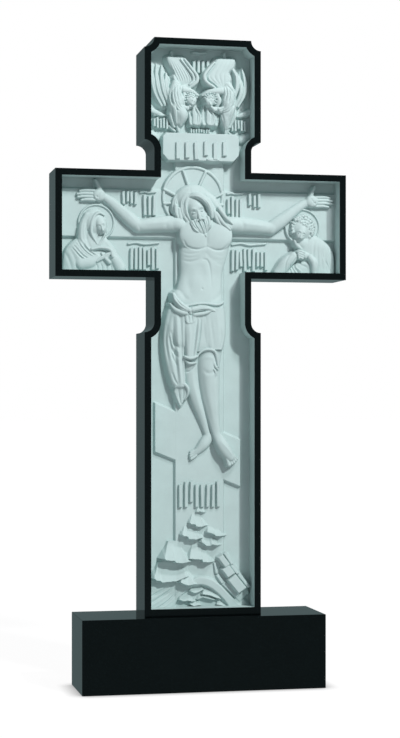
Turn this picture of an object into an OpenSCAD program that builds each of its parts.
// Orthodox cross headstone: one cross-shaped stone with a sunk, carved front,
// standing on a plain rectangular plinth. Millimetres, +Z up, front faces -Y.
// Origin: centre of the plinth's underside.

/* [Plinth] */
// Width of the plinth, left to right
plinth_width = 500; // [400:5:620]
// Depth of the plinth, front to back
plinth_depth = 150; // [120:5:200]
// Height of the plinth
plinth_height = 150; // [100:5:200]

/* [Cross outline] */
// Length over both arms
arm_span = 600; // [480:5:720]
// Height of the cross from its foot to its top
cross_height = 1165; // [980:5:1400]
// Thickness of the stone, front to back
cross_thickness = 100; // [80:1:130]
// Width of the shaft and of the head block
shaft_width = 240; // [200:1:290]
// Height of the arms, top to bottom
arm_height = 215; // [180:1:260]
// Height of the arm's underside over the foot of the cross
arm_rise = 682; // [560:1:800]
// Radius of the scooped corners
notch_radius = 20; // [14:0.5:26]
// From the arm's top up to the tip of the head block's lower scoop
upper_neck = 62; // [50:1:75]
// From the arm's underside down to the tip of the shaft's scoop
lower_neck = 110; // [90:1:132]

/* [Sunk front] */
// Width of the polished border left around the carving
border = 13.5; // [11:0.5:17]
// Width of the border along the foot
foot_border = 15.5; // [12:0.5:20]
// Depth of the sunk ground behind the border
recess_depth = 45; // [36:1:55]

/* [Carving] */
// Height of the two low beams over the ground
beam_height = 8; // [6:0.5:10]
// Width of the low beams
beam_width = 100; // [80:1:120]
// Height of the corpus, top of the head to the toes
corpus_height = 565; // [460:5:680]
// Outer radius of the corpus halo
halo_radius = 64; // [52:1:76]
// Outer radius of the two mourners' halos
bust_halo_radius = 37; // [30:1:44]
// Width of the title plaque
plaque_width = 158; // [130:1:170]
// Height of the title plaque
plaque_height = 57; // [46:1:66]
// Height of the plaque's face over the ground
plaque_lift = 24; // [20:1:28]
// Height of the inscription strokes over their ground
stroke_lift = 4; // [3:0.5:5]
// Width of the rock hill at its foot
hill_width = 205; // [180:1:210]
// Height of the rock hill
hill_height = 205; // [170:1:240]

/* [Hidden] */
foot_z = plinth_height;
front_y = -cross_thickness / 2;
ground_y = front_y + recess_depth;
arm_low = foot_z + arm_rise;
arm_top = arm_low + arm_height;
arm_mid = arm_low + arm_height / 2;
top_z = foot_z + cross_height;
head_low = arm_top + upper_neck - notch_radius;
shaft_top = arm_low - lower_neck + notch_radius;
neck_width = shaft_width - 2 * notch_radius;
inner_neck = neck_width / 2 - border;
inner_low = foot_z + foot_border;
inner_top = top_z - border;
ks = corpus_height / 565;
plaque_low = arm_top + 23;
plaque_top = plaque_low + plaque_height;
head_mid = (plaque_top + inner_top) / 2;
stone = [0.05, 0.05, 0.055];

// ---------- outline ----------

module block2d(low, high, scoops_below) {
  difference() {
    translate([-shaft_width / 2, low]) square([shaft_width, high - low]);
    for (side = [-1, 1]) {
      translate([side * shaft_width / 2, high]) circle(r = notch_radius, $fn = 40);
      if (scoops_below) translate([side * shaft_width / 2, low]) circle(r = notch_radius, $fn = 40);
    }
  }
}

module outline2d() {
  union() {
    block2d(foot_z, shaft_top, false);
    block2d(head_low, top_z, true);
    translate([-arm_span / 2, arm_low]) square([arm_span, arm_height]);
    translate([-neck_width / 2, shaft_top - 1]) square([neck_width, head_low - shaft_top + 2]);
  }
}

module recess2d(extra = 0) {
  intersection() {
    offset(delta = extra - border) outline2d();
    translate([-arm_span, inner_low - extra]) square([2 * arm_span, cross_height]);
  }
}

// A flat profile drawn in X and Z, standing from height h0 to h1 over the ground
module raise(h0, h1) {
  translate([0, ground_y - h0, 0]) rotate([90, 0, 0]) linear_extrude(h1 - h0) children();
}

// ---------- carving helpers ----------

// A point of the carving: x, height over the arm's centre line, lift over the ground
function at(p) = [p[0] * ks, ground_y - p[2], arm_mid + p[1] * ks];

module ball(p, r, flat = 0.7, fn = 12) {
  translate(at(p)) scale([1, flat, 1]) sphere(r = r * ks, $fn = fn);
}

module limb(p, rp, q, rq, flat = 0.7, fn = 12) {
  hull() {
    ball(p, rp, flat, fn);
    ball(q, rq, flat, fn);
  }
}

// A low bar with sloping sides
module bar(x0, x1, z0, z1, lift, slope) {
  hull() {
    raise(-1, 0) translate([x0, z0]) square([x1 - x0, z1 - z0]);
    raise(lift - 1, lift) translate([x0 + slope, z0 + slope])
      square([x1 - x0 - 2 * slope, z1 - z0 - 2 * slope]);
  }
}

module halo(x, z, r, lift, rim, fn = 40) {
  raise(-1, lift) translate([x, z]) circle(r = r - 2.5, $fn = fn);
  raise(-1, lift + rim) translate([x, z]) difference() {
    circle(r = r, $fn = fn);
    circle(r = r - 5, $fn = fn);
  }
}

// A row of plain upright strokes of uneven length, not lettering
module strokes(x0, x1, z0, z1, count, base) {
  pitch = (x1 - x0) / count;
  for (i = [0 : count - 1]) {
    cut = (z1 - z0) * (0.12 * ((i * 7 + 3) % 4));
    low = (i % 2 == 0) ? z0 : z0 + cut / 2;
    raise(base - 1, base + stroke_lift) translate([x0 + pitch * (i + 0.25), low])
      square([pitch * 0.45, z1 - z0 - cut / 2]);
  }
}

// ---------- carving ----------

module beams() {
  bar(-beam_width / 2, beam_width / 2, foot_z + 60, plaque_low + 10, beam_height, 3);
  bar(-arm_span / 2, arm_span / 2, arm_mid - 28, arm_mid - 28 + beam_width, beam_height, 4);
}

module footrest() {
  hull() for (s = [0, 3]) raise(beam_height * s / 3 - 1, beam_height * s / 3)
    polygon([
      [-94 + s, arm_mid - 357 - s],
      [85 - s, arm_mid - 433 - s],
      [85 - s, arm_mid - 536 + s],
      [-94 + s, arm_mid - 460 + s]
    ]);
}

module plaque() {
  corner = 9;
  w = plaque_width / 2;
  raise(-1, plaque_lift) polygon([
    [-w + corner, plaque_low], [w - corner, plaque_low],
    [w, plaque_low + corner * 1.5], [w, plaque_top - corner],
    [w - corner, plaque_top], [-w + corner, plaque_top],
    [-w, plaque_top - corner], [-w, plaque_low + corner * 1.5]
  ]);
  strokes(-w * 0.75, w * 0.75, plaque_low + 8, plaque_top - 10, 7, plaque_lift);
}

module corpus() {
  // head, hair and beard
  limb([-12, 54, 20], 26, [0, 28, 22], 22);
  limb([2, 22, 24], 15, [9, -12, 22], 6);
  limb([18, 40, 16], 12, [52, -2, 14], 6);
  limb([-34, 44, 14], 12, [-40, 8, 12], 6);
  // arms and hands
  for (s = [-1, 1]) {
    dx = s < 0 ? 0 : 24;
    limb([s * 38 + dx / 2, 0, 16], 17, [s * 122 + dx, -2, 14], 13);
    limb([s * 122 + dx, -2, 14], 13, [s * 196 + dx, 52, 11], 9);
    limb([s * 198 + dx, 54, 11], 10, [s * 222 + dx, 56, 8], 11);
    for (f = [0 : 3])
      limb([s * 222 + dx, 49 + f * 5.5, 8], 3.2, [s * 252 + dx, 49 + f * 5.2, 8], 2.6, 0.8, 6);
    limb([s * 205 + dx, 62, 9], 5, [s * 212 + dx, 84, 9], 3.2, 0.8, 8);
  }
  // trunk
  hull() {
    ball([-12, -14, 12], 28, 0.75);
    ball([32, -12, 12], 28, 0.75);
    ball([8, -40, 12], 38, 0.62);
    ball([-4, -92, 8], 39, 0.6);
  }
  hull() {
    ball([-4, -92, 8], 39, 0.6);
    ball([-6, -150, 8], 49, 0.52);
  }
  // loincloth: belt, wrap, knot and hanging end
  limb([-50, -150, 18], 12, [-22, -166, 28], 10, 0.9);
  limb([-22, -166, 28], 10, [36, -160, 22], 12, 0.9);
  hull() {
    ball([-28, -170, 12], 34, 0.62);
    ball([18, -170, 12], 32, 0.62);
    ball([-26, -262, 14], 26, 0.8);
    ball([12, -246, 14], 26, 0.8);
  }
  limb([-26, -172, 30], 11, [-24, -192, 28], 9, 0.8);
  limb([-56, -160, 14], 14, [-56, -250, 15], 16, 0.9);
  limb([-56, -250, 15], 16, [-42, -326, 14], 12, 0.9);
  limb([-40, -205, 24], 10, [-34, -300, 20], 9, 0.9, 10);
  limb([-40, -330, 14], 9, [-39, -362, 10], 4, 0.9);
  // legs
  limb([-28, -230, 18], 24, [-20, -300, 20], 16, 0.8);
  limb([-20, -300, 20], 16, [12, -436, 13], 9, 0.8);
  limb([16, -230, 18], 28, [16, -296, 22], 22, 0.8);
  limb([16, -296, 22], 22, [36, -438, 15], 11, 0.8);
  // feet
  limb([13, -438, 14], 10, [-14, -472, 12], 8, 0.8);
  limb([37, -442, 16], 11, [62, -482, 14], 10, 0.8);
}

// A half figure at an arm's end, leaning towards the middle
module mourner(s) {
  x = s * (arm_span / 2 - border - 71);
  z = arm_mid - 2;
  floor_z = arm_low + border;
  halo(x, z, bust_halo_radius, beam_height + 3.3, 2.2, 32);
  translate([x, ground_y - 12, z]) scale([0.82, 0.75, 1]) sphere(r = 25, $fn = 12);
  translate([x - s * 5, ground_y - 16, z - 8]) scale([0.8, 0.8, 1]) sphere(r = 18, $fn = 12);
  // shoulders and cloak
  hull() {
    translate([x + s * 30, ground_y - 10, z - 52]) scale([1, 0.7, 1]) sphere(r = 26, $fn = 12);
    translate([x - s * 8, ground_y - 10, z - 48]) scale([1, 0.8, 1]) sphere(r = 20, $fn = 12);
    translate([x + s * 44, ground_y - 8, floor_z]) scale([1, 0.7, 1]) sphere(r = 22, $fn = 12);
    translate([x - s * 20, ground_y - 8, floor_z]) scale([1, 0.7, 1]) sphere(r = 24, $fn = 12);
  }
  // sleeve and raised hand
  hull() {
    translate([x - s * 38, ground_y - 10, floor_z + 4]) scale([1, 0.8, 1]) sphere(r = 16, $fn = 12);
    translate([x - s * 18, ground_y - 18, floor_z + 32]) scale([1, 0.8, 1]) sphere(r = 12, $fn = 12);
  }
  hull() {
    translate([x - s * 14, ground_y - 20, floor_z + 28]) sphere(r = 8, $fn = 10);
    translate([x - s * 2, ground_y - 20, floor_z + 48]) sphere(r = 6, $fn = 10);
  }
}

// A small adoring angel, bowed towards the middle, one wing up and one behind
module angel(s) {
  z = head_mid - 16;
  // body and robe
  hull() {
    translate([s * 38, ground_y - 12, z + 18]) scale([1, 0.7, 1]) sphere(r = 20, $fn = 12);
    translate([s * 52, ground_y - 12, z - 20]) scale([1, 0.7, 1]) sphere(r = 22, $fn = 12);
    translate([s * 44, ground_y - 8, plaque_top + 10]) scale([1, 0.7, 1]) sphere(r = 14, $fn = 12);
  }
  hull() {
    translate([s * 30, ground_y - 16, z + 4]) scale([1, 0.8, 1]) sphere(r = 12, $fn = 10);
    translate([s * 12, ground_y - 14, z - 22]) scale([1, 0.8, 1]) sphere(r = 8, $fn = 10);
    translate([s * 12, ground_y - 10, plaque_top + 8]) scale([1, 0.8, 1]) sphere(r = 12, $fn = 10);
  }
  // head
  translate([s * 20, ground_y - 20, z + 14]) sphere(r = 14, $fn = 14);
  // raised wing and rear wing, each three broad feathers over a thin plate
  raise(-1, 9) polygon([
    [s * 26, z + 78],
    [s * 64, z + 86],
    [s * 54, z + 34],
    [s * 16, z + 34]
  ]);
  for (f = [0 : 2]) hull() {
    translate([s * (20 + 9 * f), ground_y - 14 + 3 * f, z + 40 - 4 * f])
      scale([1, 0.7, 1]) sphere(r = 8, $fn = 8);
    translate([s * (30 + 16 * f), ground_y - 9 + 2 * f, z + 78 + 2 * f])
      scale([1, 0.4, 1]) sphere(r = 12, $fn = 8);
  }
  raise(-1, 8) polygon([
    [s * 60, z + 40],
    [s * 93, z + 74],
    [s * 97, z + 16],
    [s * 72, z - 6]
  ]);
  for (f = [0 : 2]) hull() {
    translate([s * (56 + 4 * f), ground_y - 10 + 2 * f, z + 32 - 14 * f])
      scale([1, 0.7, 1]) sphere(r = 9, $fn = 8);
    translate([s * (86 + f), ground_y - 8 + 2 * f, z + 66 - 24 * f])
      scale([1, 0.4, 1]) sphere(r = 15, $fn = 8);
  }
  // rocky ground at the corner
  hull() {
    raise(-1, 12) translate([s * 84, plaque_top + 8]) circle(r = 20, $fn = 7);
    raise(-1, 4) translate([s * 84, plaque_top + 8]) circle(r = 25, $fn = 7);
  }
}

// Stepped slabs widening downwards; each row is left, right, underside, thickness, lift
module hill() {
  slabs = [
    [-0.05, 0.05, 0.94, 0.06, 12], [-0.13, 0.04, 0.83, 0.08, 14], [-0.20, 0.00, 0.70, 0.09, 16],
    [0.05, 0.20, 0.74, 0.08, 14], [-0.01, 0.17, 0.62, 0.08, 16], [-0.38, -0.14, 0.46, 0.10, 18],
    [-0.14, 0.08, 0.46, 0.10, 18], [-0.48, -0.20, 0.28, 0.08, 22], [-0.22, -0.04, 0.23, 0.10, 22]
  ];
  foot = inner_low - 1;
  raise(-1, 8) polygon([
    [-hill_width / 2, foot],
    [-hill_width * 0.40, foot + hill_height * 0.48],
    [-hill_width * 0.06, foot + hill_height],
    [hill_width * 0.04, foot + hill_height],
    [hill_width * 0.18, foot + hill_height * 0.55],
    [hill_width / 2, foot]
  ]);
  for (s = slabs) hull() {
    raise(-1, s[4]) translate([hill_width * s[0], foot + hill_height * s[2]])
      square([hill_width * (s[1] - s[0]), hill_height * s[3]]);
    raise(-1, 4) translate([hill_width * s[0] - 4, foot + hill_height * (s[2] - 0.02)])
      square([hill_width * (s[1] - s[0]) + 8, hill_height * (s[3] + 0.02)]);
  }
  // courses of blocks running down to the right
  for (i = [0 : 3]) hull() {
    t = i / 4;
    raise(-1, 18 + 2 * i) polygon([
      [hill_width * (0.19 + 0.25 * t), foot + hill_height * (0.56 - 0.42 * t)],
      [hill_width * (0.26 + 0.22 * t), foot + hill_height * (0.54 - 0.42 * t)],
      [hill_width * (0.35 + 0.18 * t), foot + hill_height * (0.42 - 0.42 * t)],
      [hill_width * (0.24 + 0.20 * t), foot + hill_height * (0.42 - 0.42 * t)]
    ]);
  }
  // brow of the cave and the boulders inside
  difference() {
    raise(-1, 24) polygon([
      [-hill_width / 2, foot],
      [-hill_width * 0.46, foot + hill_height * 0.16],
      [-hill_width * 0.25, foot + hill_height * 0.26],
      [hill_width * 0.08, foot + hill_height * 0.28],
      [hill_width * 0.42, foot + hill_height * 0.10],
      [hill_width / 2, foot]
    ]);
    raise(8, 30) translate([hill_width * 0.02, foot]) scale([1, 0.62])
      circle(r = hill_width * 0.30, $fn = 28);
  }
  for (b = [[-0.17, 0.06, 17], [0.00, 0.14, 15], [0.08, 0.05, 16], [-0.06, 0.04, 13]])
    translate([hill_width * b[0], ground_y - 12, foot + hill_height * b[1]]) sphere(r = b[2], $fn = 9);
}

module inscriptions() {
  low = arm_low + border + 4;
  strokes(-142, -84, low, low + 44, 6, 0);
  strokes(68, 144, low, low + 46, 8, 0);
  strokes(-46, 44, arm_mid - 571, arm_mid - 523, 8, beam_height);
  strokes(-118, -88, arm_mid + 22, arm_mid + 60, 3, beam_height);
  strokes(-160, -126, arm_mid + 40, arm_mid + 68, 4, beam_height);
  strokes(56, 90, arm_mid + 24, arm_mid + 62, 3, beam_height);
  strokes(102, 128, arm_mid + 40, arm_mid + 68, 3, beam_height);
}

module carving() {
  intersection() {
    raise(-1.5, recess_depth - 1) recess2d(0.6);
    union() {
      beams();
      footrest();
      halo(-12 * ks, arm_mid + 57.3 * ks, halo_radius, beam_height + 2.2, 2.5);
      plaque();
      corpus();
      for (s = [-1, 1]) {
        mourner(s);
        angel(s);
      }
      hill();
      inscriptions();
    }
  }
}

// ---------- the two pieces ----------

module plinth() {
  color([0.05, 0.05, 0.055])
    translate([-plinth_width / 2, -plinth_depth / 2, 0])
      cube([plinth_width, plinth_depth, plinth_height]);
}

module cross() {
  color(stone) union() {
    difference() {
      translate([0, cross_thickness / 2, 0]) rotate([90, 0, 0])
        linear_extrude(cross_thickness) outline2d();
      translate([0, ground_y, 0]) rotate([90, 0, 0])
        linear_extrude(recess_depth + 1) recess2d();
    }
    carving();
  }
}

plinth();
cross();
